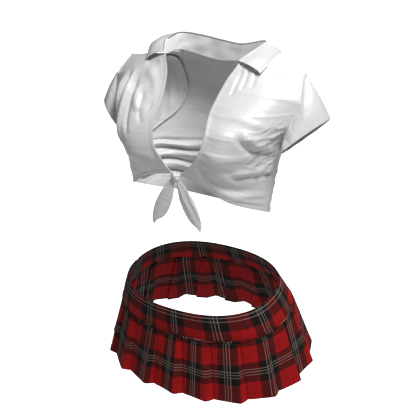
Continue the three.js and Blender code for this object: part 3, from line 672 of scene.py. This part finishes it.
def ripples(x, z, wavelength, turn, spread, seed, count=26):
    """Wandering folds: a sum of sine waves, each with its own length near `wavelength`, its own direction
    near `turn` degrees from level and its own start, scaled so that they are about 1 high."""
    draw = np.random.default_rng(seed)
    total = np.zeros_like(x)
    for _ in range(count):
        angle = math.radians(turn + draw.uniform(-spread, spread))
        size = 2 * np.pi / (wavelength * draw.uniform(0.7, 1.5))
        total += np.sin(size * (-x * math.sin(angle) + z * math.cos(angle)) + draw.uniform(0, 2 * np.pi))
    return total / math.sqrt(count / 2) * 0.7


def creases(x, z, wavelength, turn, spread, seed):
    """Crumpled cloth: sharp ridges where wandering folds change sign, with rounded hollows between them."""
    folds = ripples(x, z, wavelength, turn, spread, seed)
    return np.exp(-np.abs(folds) * 3.0) - 0.3


def folded(x, z, folds):
    """Single folds, each listed as its start, end, width, height and bow. A fold is a bell curve across the
    line from start to end, bowed sideways and fading to nothing over its two ends. A negative one is a
    groove."""
    total = np.zeros_like(x)
    for start, end, width, height, bow in folds:
        start, end = np.array(start, float), np.array(end, float)
        length = np.linalg.norm(end - start)
        way = (end - start) / length
        along = ((x - start[0]) * way[0] + (z - start[1]) * way[1]) / length
        off = (x - start[0]) * -way[1] + (z - start[1]) * way[0] - bow * 4 * along * (1 - along)
        fade = np.clip(np.minimum(along, 1 - along) * 4 + 0.15, 0, 1)
        total += height * np.exp(-((off / width) ** 2)) * fade * fade * (3 - 2 * fade)
    return total


def rise(value, low, high):
    """Goes smoothly from 0 at `low` to 1 at `high`."""
    t = np.clip((value - low) / (high - low), 0, 1)
    return t * t * (3 - 2 * t)


cotton = white_cotton("white cotton sateen", colour("#d6d6d6"), 0.4)


def build_back():
    """The panel with its drag folds, which are level sine waves low down that wander a little, with smaller
    ripples all over it and crumples at the side seams."""
    u, v = np.linspace(0, 1, 181), np.linspace(0, PANEL_TOP, 151)
    grid = panel_grid(back_columns, BACK_SEAMS, u, v)
    x, z = grid[..., 0], grid[..., 2]
    across, up = np.meshgrid(u, v)
    inside = rise(across, 0, 0.06) * rise(1 - across, 0, 0.06) * rise(1 - up, 0, 0.05)
    slant = z + 0.08 * x + 3 * np.sin(x / 31) + 2.5 * np.sin(x / 13 + z / 29)
    low = rise(z, 160, 175) * (1 - rise(z, 222, 240)) * rise(190 - np.abs(x + 60), 40, 110)
    drag = DRAG_HEIGHT * np.sin(2 * np.pi * (slant + 8 + 0.005 * (z - 200) ** 2) / DRAG_SPACING) * low
    drag += 1.5 * np.sin(2 * np.pi * slant / 11.5 + x / 17) * low
    shape = drag + 0.5 * ripples(x, z, 46, 5, 25, 3) + 0.35 * creases(x, z, 60, 8, 16, 5)
    shape += 1.6 * creases(x, z, 34, 20, 35, 9) * rise(np.abs(x), 85, 125) * (1 - rise(z, 250, 300))
    grid = grid + normals(grid) * (shape * inside)[..., None]
    across_mm, along_mm = lengths(grid)
    places = np.stack([across * across_mm, up * along_mm], axis=-1)
    near = np.linalg.norm(grid - grid[:1], axis=-1)
    hem = turned_edge(near < 12, near - 12, 0.4, 0.5, 0.8)
    piece = cloth_piece("shirt_back", grid, places, 0.0, CLOTH + hem, cotton)
    return piece


shirt_back = build_back()
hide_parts("back_panel")
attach(shirt_back, "top")

# ---------------------------------------------------------------- the shirt's fronts
# Two fronts of the same cotton, each with a turned edge. They are open to the bust and drawn together at the
# knot, so the cloth is pulled across below the bust, and it crumples at the side under the arm.
EDGE_LEFT = [[12.4, -99, 247], [34, -107, 268], [52, -110, 293], [60, -102, 325], [54, -72, 354],
             [60, -32, 393]]
EDGE_RIGHT = [[3.2, -99, 247], [16, -106, 268], [33, -107, 296], [41, -92, 330], [40, -66, 358],
              [48, -34, 392]]
BREAST = [[50, -94, 233], [72, -104, 256], [86, -108, 286], [94, -100, 318], [92, -74, 350], [100, -30, 386]]
FLANK = [[95, -80, 205], [105, -76, 236], [116, -74, 273], [126, -72, 305], [134, -56, 343], [140, -20, 378]]
FLANK_RIGHT_IN = 5.0
FRONT_TURNED = 7.0
LEFT_FOLDS = [
    ((84, 352), (150, 330), 5, 1.6, 6), ((70, 330), (140, 312), 5, 1.2, 4),
    ((62, 300), (132, 288), 6, 1.3, -4), ((112, 335), (146, 282), 6, 3.0, 5),
    ((104, 330), (138, 276), 5, -3.4, 4), ((100, 262), (142, 246), 5, 2.6, 3),
    ((100, 252), (142, 236), 5, -2.4, 3), ((46, 282), (122, 214), 10, -3.4, -7),
    ((40, 262), (118, 206), 8, 2.6, -6), ((84, 226), (134, 196), 5, 1.6, 3),
    ((94, 214), (132, 182), 4, 1.3, 2), ((58, 268), (110, 262), 8, -1.6, 2),
    ((80, 416), (76, 376), 2.6, -2.2, 1), ((90, 416), (89, 384), 2.4, -2.0, 1),
    ((101, 412), (104, 388), 2.6, -1.4, 1)]
RIGHT_FOLDS = [
    ((128, 384), (112, 280), 4, -7.5, 3), ((117, 388), (98, 276), 4.5, 5.0, 3),
    ((138, 376), (126, 284), 3.5, 5.0, 2), ((146, 366), (137, 290), 3, -4.5, 1),
    ((104, 384), (84, 300), 5, -4.0, 3), ((92, 372), (70, 340), 6, 4.0, 6),
    ((78, 366), (62, 322), 4, -2.6, 4), ((90, 396), (58, 346), 8, 3.2, -8),
    ((80, 384), (56, 338), 6, -2.4, -6), ((104, 398), (74, 404), 4, -2.0, 0),
    ((92, 262), (30, 272), 8, 1.4, -5), ((120, 250), (56, 256), 7, -1.0, -4),
    ((124, 214), (60, 240), 8, 1.0, -3)]


def shoulder_seam(side, share):
    """A point of the shoulder seam, which is the outer quarter of the back's top edge, at a share of its way
    from the neck to the sleeve head."""
    across = (1 - share) / 4 if side == "left" else (3 + share) / 4
    x, y, z = back_at(across, 1.0)
    return [abs(x), y, z]


def front_grid(side, u, v):
    """A front, drawn on the wearer's left: columns from the turned edge round to the side seam."""
    edge, drawn_in = (EDGE_LEFT, 0.0) if side == "left" else (EDGE_RIGHT, FLANK_RIGHT_IN)
    columns = [[*edge, NECK[side]], [*BREAST, shoulder_seam(side, 1 / 3)],
               [*[[x - drawn_in, y, z] for x, y, z in FLANK], shoulder_seam(side, 2 / 3)],
               [*SIDE_SEAM, *ARMHOLE_FRONT[side], SHOULDER[side]]]
    return panel_grid(columns, [3], u, v)


def left_front_folds(x, z):
    """Level drag lines over the bust, gathers below the collar, and deep crumples under the arm."""
    chest = rise(z, 270, 300)
    shape = 1.0 * creases(x, z, 52, -6, 10, 21) * chest + 0.7 * ripples(x, z, 40, -8, 16, 23) * chest
    shape += 0.25 * ripples(x, z, 60, -20, 20, 25)
    under_arm = rise(x, 108, 134) * (1 - rise(z, 325, 350))
    shape += 2.4 * creases(x, z, 22, 40, 45, 31) * under_arm * rise(z, 225, 250)
    side = rise(x, 118, 136) * rise(z, 200, 240) * (1 - rise(z, 320, 340))
    shape += 1.6 * creases(x, z, 15, 30, 60, 33) * side
    shape += folded(x, z, LEFT_FOLDS)
    return shape


def right_front_folds(x, z):
    """Upright folds where the sleeve drags the cloth down beside the bust, and a smooth band below it."""
    chest = rise(z, 262, 290)
    shape = 0.3 * creases(x, z, 50, 10, 18, 41) * chest + 0.25 * ripples(x, z, 44, 0, 30, 43)
    return shape + folded(x, z, RIGHT_FOLDS)


def build_front(side, folds):
    """One front, with its folds fading out at the armhole and the top, where it is sewn."""
    u, v = np.linspace(0, 1, 101), np.linspace(0, PANEL_TOP, 171)
    grid = front_grid(side, u, v)
    across, up = np.meshgrid(u, v)
    inside = rise(1 - across, 0, 0.06) * rise(1 - up, 0, 0.04) * (0.35 + 0.65 * rise(across, 0, 0.12))
    low = 0.3 + 0.7 * rise(up, 0, 0.08)
    shape = folds(grid[..., 0], grid[..., 2]) * inside * low
    grid = grid + normals(grid) * shape[..., None]
    across_mm, along_mm = lengths(grid)
    places = np.stack([across * across_mm, up * along_mm], axis=-1)
    if side == "right":
        grid = (grid * [-1, 1, 1])[:, ::-1]
        places = places[:, ::-1]
        across = across[:, ::-1]
    from_hem = np.linalg.norm(grid - grid[:1], axis=-1)
    near = np.minimum(across * across_mm, from_hem)
    turned = turned_edge(near < FRONT_TURNED, near - FRONT_TURNED, 0.45, 0.5, 0.7)
    piece = cloth_piece(f"shirt_front_{side}", grid, places, 0.0, CLOTH + turned, cotton)
    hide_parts(f"front_{side}")
    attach(piece, "top")


build_front("left", left_front_folds)
build_front("right", right_front_folds)

# ---------------------------------------------------------------- the armhole facings
# A shaped strip of the same cotton lies inside the back round each armhole. Its free edge is turned and
# stitched, and shows as a thin pale line.
FACING_GAP = 1.9
FACING_LOW = 0.31
FACING_REACH = [0.03, 0.25, 0.31, 0.295, 0.24]
FACING_NEAR = 0.03
FACING_TOP = 0.99
BACK_CELLS = (240, 200)
back_points = panel_grid(back_columns, BACK_SEAMS, *[np.linspace(0, 1, count + 1) for count in BACK_CELLS])


def on_back(across, height):
    """Points of the back at shares of its width and height: each blends the four nearest points of a fine
    grid, in proportion to how near they are across and up."""
    column, row = across * BACK_CELLS[0], height * BACK_CELLS[1]
    c0, r0 = np.minimum(column.astype(int), BACK_CELLS[0] - 1), np.minimum(row.astype(int), BACK_CELLS[1] - 1)
    cf, rf = (column - c0)[..., None], (row - r0)[..., None]
    lower = back_points[r0, c0] * (1 - cf) + back_points[r0, c0 + 1] * cf
    upper = back_points[r0 + 1, c0] * (1 - cf) + back_points[r0 + 1, c0 + 1] * cf
    return lower * (1 - rf) + upper * rf


def build_facing(side):
    """The strip follows the inside of the back. Across, it runs from beside the armhole as far as the listed
    reach, which is a share of the back's width, and up from below the armhole to the shoulder seam."""
    p, q = np.meshgrid(np.linspace(0, 1, 61), np.linspace(0, 1, 81))
    reach = smooth(np.array(FACING_REACH)[:, None], q[:, 0])[:, 0][:, None]
    across = FACING_NEAR + (reach - FACING_NEAR) * p
    if side == "right":
        across = 1 - across[:, ::-1]
    grid = on_back(across, FACING_LOW + (FACING_TOP - FACING_LOW) * q)
    from_free = (1 - p) if side == "left" else p
    edge_mm = from_free * np.abs(reach - FACING_NEAR) * 330
    x, z = grid[..., 0], grid[..., 2]
    shape = 1.1 * ripples(x, z, 17, 90, 12, 51 if side == "left" else 53) * rise(edge_mm, 6, 26)
    shape = shape * rise(1 - q, 0, 0.2) * rise(q, 0, 0.1)
    grid = grid + normals(grid) * (-FACING_GAP - 0.4 + np.minimum(shape, 1.0))[..., None]
    roll = turned_edge(edge_mm < 4.0, edge_mm - 4.5, 1.8, 0.5, 0.7)
    across_mm, along_mm = lengths(grid)
    places = np.stack([p * across_mm, q * along_mm], axis=-1)
    piece = cloth_piece(f"facing_{side}", grid, places, -CLOTH - roll, 0.0, cotton)
    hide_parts(f"armhole_facing_{side}")
    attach(piece, "top")


build_facing("left")
build_facing("right")

# ---------------------------------------------------------------- the sleeves
# Short set-in sleeves: a tube of cotton eased into the armhole with a little fullness at the head, and a
# narrow turned hem that stands away from the arm. The hem's oval has the listed middle and half axes.
SLEEVE = {"left": {"middle": [187, 10, 309], "up": [28, 10, 27], "forward": [-12, -42, -6]},
          "right": {"middle": [182, 1, 290], "up": [24, 11, 20], "forward": [-15, -37, 10]}}
SLEEVE_CAP = 7.0
SLEEVE_TUCK = 2.0
SLEEVE_RADIUS = 45.0
SLEEVE_LENGTH = 70.0
SLEEVE_OUTSIDE = 62.0
SLEEVE_HEM = 9.0


def build_sleeve(side):
    """The sleeve is straight lines from the armhole's loop to an oval hem, raised at the head. Columns go
    round the arm from the underarm to the front, over the shoulder and down the back, and rows go out."""
    hem = {key: np.array(value, float) for key, value in SLEEVE[side].items()}
    loop = [SIDE_SEAM[3], *ARMHOLE_FRONT[side], SHOULDER[side], *ARMHOLE_BACK[side][::-1], SIDE_SEAM[3]]
    turn = np.linspace(0, 1, 161)
    angle = turn * 2 * np.pi
    start = straight(loop, turn)
    wrapped = np.concatenate([start[-9:-1], start, start[1:9]])
    start = np.stack([np.convolve(wrapped[:, k], np.ones(9) / 9, "same")[8:-8] for k in range(3)], axis=1)
    start[-1] = start[0]
    end = hem["middle"] - np.cos(angle)[:, None] * hem["up"] + np.sin(angle)[:, None] * hem["forward"]
    way = (end - start) / np.linalg.norm(end - start, axis=1, keepdims=True)
    start = start - way * SLEEVE_TUCK
    v = np.linspace(0, 1, 61)
    grid = start[None] + (end - start)[None] * v[:, None, None]
    head = np.maximum(-np.cos(angle), 0)[None] * SLEEVE_CAP * 4 * (v * (1 - v))[:, None]
    grid = grid + head[..., None] * np.array([0.6, 0, 0.8])
    run, out_mm = np.meshgrid(angle * SLEEVE_RADIUS, v * SLEEVE_LENGTH)
    seed = 61 if side == "left" else 67
    wrap = 0.15 + np.cos(angle / 2)[None] ** 2
    shape = 1.3 * creases(run, out_mm, 30, 60, 30, seed) + 0.6 * ripples(run, out_mm, 26, 70, 30, seed + 1)
    shape = shape * wrap * rise(v, 0.02, 0.3)[:, None] - 2.6 * (1 - rise(v, 0.0, 0.07))[:, None]
    grid = grid + normals(grid) * shape[..., None]
    from_hem = (1 - v)[:, None] * SLEEVE_OUTSIDE + 0 * run
    hem_band = turned_edge(from_hem < SLEEVE_HEM, from_hem - SLEEVE_HEM, 0.5, 0.5, 0.8)
    places = np.stack([run, out_mm], axis=-1)
    if side == "right":
        grid = (grid * [-1, 1, 1])[:, ::-1]
        places, hem_band = places[:, ::-1], hem_band[:, ::-1]
    outer = CLOTH / 2 + hem_band
    piece = cloth_piece(f"sleeve_{side}_cloth", grid, places, -CLOTH / 2, outer, cotton, closed=True)
    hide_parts(f"sleeve_{side}")
    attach(piece, "top")


build_sleeve("left")
build_sleeve("right")

# ---------------------------------------------------------------- the collar
# A two-piece shirt collar in double cotton with interlining: a stand sewn to the neck, and a fall that turns
# over on the fold and ends in two points. Topstitching runs close to its edge.
COLLAR_FOLD = [[-67, -7, 420], [-82, 28, 431], [-72, 56, 437], [-36, 67, 434], [0, 69, 430], [40, 67, 429],
               [86, 58, 443], [87, 28, 439], [71, -7, 424]]
COLLAR_EDGE = [[-103, -8, 403], [-116, 34, 419], [-102, 74, 417], [-46, 95, 407], [0, 98, 404], [48, 95, 405],
               [106, 80, 421], [118, 34, 426], [111, -8, 410]]
POINT_SHARE = 0.22
STAND_LOW = -1.2
STAND_LENGTH = 300.0
STAND_HEIGHT = 30.0
STAND_FOLDS = [((70, 4), (140, 24), 8, 1.2, 0), ((150, 20), (230, 6), 9, -1.0, 0)]
FALL_LENGTH = 320.0
FALL_DEPTH = 42.0


def build_stand():
    """Straight lines from the neck seam, which is the middle half of the back's top edge, up to the fold."""
    u, v = np.meshgrid(np.linspace(0.0, 1.0, 181), np.linspace(0, 1, 31))
    seam = panel_grid(back_columns, BACK_SEAMS, 0.75 - 0.5 * u[0], np.array([1.0]))[0]
    low = seam + [0, 0, STAND_LOW]
    high = smooth(COLLAR_FOLD, u[0]) - [0, 0, LAYER_GAP]
    grid = low[None] + (high - low)[None] * v[..., None]
    run, up = u * STAND_LENGTH, v * STAND_HEIGHT
    shape = 0.9 * ripples(run, up, 34, 60, 40, 71) * np.sin(np.pi * v) + folded(run, up, STAND_FOLDS)
    grid = grid + normals(grid) * shape[..., None]
    ridge = turned_edge(up < 3, up - 3, 0.4, 0.3, 0.6)
    piece = cloth_piece("collar_stand_cloth", grid, np.stack([run, up], axis=-1), -ridge, CLOTH, cotton)
    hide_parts("collar_stand")
    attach(piece, "top")


def build_fall(node, body, start, stop, columns):
    """Part of the fall, between two shares of its length: straight lines from its edge up to the fold, which
    lie hollow between the two and roll over at the fold."""
    u, v = np.meshgrid(np.linspace(start, stop, columns), np.linspace(0, 1, 31))
    low, high = smooth(COLLAR_EDGE, u[0]), smooth(COLLAR_FOLD, u[0])
    grid = low[None] + (high - low)[None] * v[..., None]
    run, up = u * FALL_LENGTH, v * FALL_DEPTH
    shape = 1.0 * ripples(run, up, 40, 70, 30, 77) * np.sin(np.pi * v) - 2.6 * np.sin(np.pi * v)
    roll = -1.3 * rise(v, 0.9, 1.0) - 2.6 * np.sin(np.pi * v) * np.exp(-np.minimum(u, 1 - u) / 0.06)
    grid = grid + normals(grid) * (np.minimum(shape, 0.6) + roll)[..., None]
    from_edge = np.minimum(up, np.minimum(run, FALL_LENGTH - run))
    stitched = turned_edge(from_edge > 4, from_edge - 4, 0.35, 0.45, 0.6)
    inner = -2 * LAYER_GAP - CLOTH
    places = np.stack([run, up], axis=-1)
    piece = cloth_piece(f"{node}_cloth", grid, places, inner - stitched, -2 * LAYER_GAP, cotton)
    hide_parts(node)
    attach(piece, body)


build_stand()
part_gap = SEAM_GAP / STAND_LENGTH
right_cut, left_cut = POINT_SHARE, 1 - POINT_SHARE
build_fall("collar_point_right", "collar_point_right", 0.0, right_cut - part_gap, 46)
build_fall("collar_fall", "top", right_cut + part_gap, left_cut - part_gap, 121)
build_fall("collar_point_left", "collar_point_left", left_cut + part_gap, 1.0, 46)

# ---------------------------------------------------------------- the knot and its tails
# The fronts' lower corners are tied once under the bust: a tight crumpled wrap, with the two corners hanging
# from it as flattened tubes of folded cloth.
KNOT = np.array([4.5, -101.0, 242.0])
KNOT_HALF = np.array([8.5, 7.0, 8.5])
TAIL_TIPS = {"left": [54.0, -114.0, 162.0], "right": [-29.0, -112.0, 157.0]}
TAIL_START = 6.0
TAIL_WIDTHS = [8.0, 21.0, 27.0, 25.0, 12.0]
TAIL_SLANT = 6.0
TAIL_FOLD = 2.0


def build_knot():
    """A ball whose radius carries the wraps: ridges that spiral from one side to the other, pinched at the
    waist of the knot."""
    turn, tilt = np.meshgrid(np.linspace(0, 2 * np.pi, 97), np.linspace(0.02, np.pi - 0.02, 61))
    wraps = 0.09 * np.sin(3 * turn + 4 * tilt) + 0.05 * np.sin(7 * turn - 3 * tilt)
    wraps = wraps + 0.04 * np.sin(11 * tilt + turn)
    radius = 1.02 + wraps * np.sin(tilt)
    way = np.stack([np.cos(tilt), np.sin(tilt) * np.cos(turn), np.sin(tilt) * np.sin(turn)], axis=-1)
    grid = KNOT + way * radius[..., None] * KNOT_HALF
    grid = np.swapaxes(grid, 0, 1)
    places = np.stack([turn * 9, tilt * 9], axis=-1).swapaxes(0, 1)
    piece = solid_from_grid("knot_cloth", grid, places, cotton)
    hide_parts("knot")
    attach(piece, "top")


def build_tail(label, side):
    """A tail is a flattened tube round the straight line from the knot to its tip: its width follows the
    listed widths, its half thickness is that of two folded layers, and folds run lengthways along it."""
    top = KNOT + [side * TAIL_START, -1, 1.5 - KNOT_HALF[2]]
    tip = np.array(TAIL_TIPS[label])
    way = (tip - top) / np.linalg.norm(tip - top)
    across = np.cross(way, [0, -1, 0])
    across /= np.linalg.norm(across)
    out = np.cross(across, way)
    down = np.linspace(0, 1, 81)
    turn = np.linspace(0, 2 * np.pi, 65)
    wide = smooth(np.array(TAIL_WIDTHS)[:, None], down)[:, 0] / 2
    wide = wide * np.sqrt(np.clip(1 - ((down - 0.9) / 0.102) ** 2 * (down > 0.9), 0.05, 1))
    thick = TAIL_FOLD * (1.0 + 0.5 * np.sin(np.pi * down)) * np.where(down > 0.93, 0.8, 1.0)
    c = np.sign(np.cos(turn)) * np.abs(np.cos(turn)) ** 0.8
    s = np.sign(np.sin(turn)) * np.abs(np.sin(turn)) ** 0.8
    place = c[:, None] * wide[None]
    run = down[None] * np.linalg.norm(tip - top) + 0 * place
    seed = 81 if side > 0 else 87
    folds = 2.2 * creases(place, run, 26, 84, 10, seed) + 0.7 * creases(place, run, 34, 50, 25, seed + 1)
    folds = folds * np.sin(np.pi * np.clip(down * 1.15, 0, 1))[None]
    folds = folds + 0.9 * np.sin(place / 3.4 + 1.2 * down[None])
    slant = -side * c[:, None] * TAIL_SLANT * down[None]
    grid = top + run[..., None] * way + place[..., None] * across + slant[..., None] * way
    grid = grid + (s[:, None] * thick[None] + folds * 0.6)[..., None] * out
    piece = solid_from_grid(f"tie_tail_{label}_cloth", grid, np.stack([place + 60, run], axis=-1), cotton)
    body = f"tie_tail_{label}"
    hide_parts(body)
    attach(piece, body)


build_knot()
build_tail("left", 1)
build_tail("right", -1)

# ---------------------------------------------------------------- the studio
# A wide pale floor well below the costume, one large soft light high at the wearer's left front, weaker ones
# from the other side and behind, and a bright even room. The floor and the room look white but light the cloth
# only weakly, so that the folds keep their shade.
FLOOR_DOWN = -0.9
FLOOR_HALF = 9.0


def build_floor():
    """One flat square."""
    mesh = bpy.data.meshes.new("studio_floor")
    corners = [(x * FLOOR_HALF, y * FLOOR_HALF, FLOOR_DOWN) for x, y in ((-1, -1), (1, -1), (1, 1), (-1, 1))]
    mesh.from_pydata(corners, [], [(0, 1, 2, 3)])
    material, shader = new_material("pale studio paper", Roughness=0.9)
    shader.inputs["Base Color"].default_value = colour("#fbfbfb")
    seen = add_node(material, "ShaderNodeLightPath").outputs["Is Camera Ray"]
    glow = add_node(material, "ShaderNodeMath", {"operation": "MULTIPLY_ADD"}, {0: seen, 1: 1.2, 2: 0.02})
    shader.inputs["Emission Color"].default_value = (1, 1, 1, 1)
    material.node_tree.links.new(glow.outputs[0], shader.inputs["Emission Strength"])
    mesh.materials.append(material)
    put_in_scene("studio_floor", mesh)


def add_light(name, place, target, size, power):
    """A square soft light at a place, turned to face its target."""
    data = bpy.data.lights.new(name, "AREA")
    data.energy = power
    data.size = size
    light = put_in_scene(name, data)
    light.location = place
    light.rotation_euler = (Vector(target) - Vector(place)).to_track_quat("-Z", "Y").to_euler()


build_floor()
add_light("key", (1.3, -0.62, 2.85), (0, 0, 0.25), 0.8, 104)
add_light("fill", (-1.6, -1.6, 0.6), (0, 0, 0.1), 1.6, 3.0)
add_light("rim", (-0.3, 2.1, 1.2), (0, 0, 0.2), 1.4, 14)
world = bpy.data.worlds.new("studio room")
bpy.context.scene.world = world
world.use_nodes = True
world.node_tree.nodes["Background"].inputs[0].default_value = (1, 1, 1, 1)
seen_room = add_node(world, "ShaderNodeLightPath").outputs["Is Camera Ray"]
room_glow = add_node(world, "ShaderNodeMath", {"operation": "MULTIPLY_ADD"}, {0: seen_room, 1: 1.2, 2: 0.11})
world.node_tree.links.new(room_glow.outputs[0], world.node_tree.nodes["Background"].inputs[1])

camera_data = bpy.data.cameras.new("camera")
camera_data.angle = math.radians(23.31)
camera = put_in_scene("camera", camera_data)
camera.location = (0.7878, -1.4359, 0.9292)
camera.rotation_euler = (math.radians(64.176), 0, math.radians(28.291))
bpy.context.scene.camera = camera
# The colours are shown as they are, without a film curve that would grey the whites.
bpy.context.scene.view_settings.view_transform = "Standard"
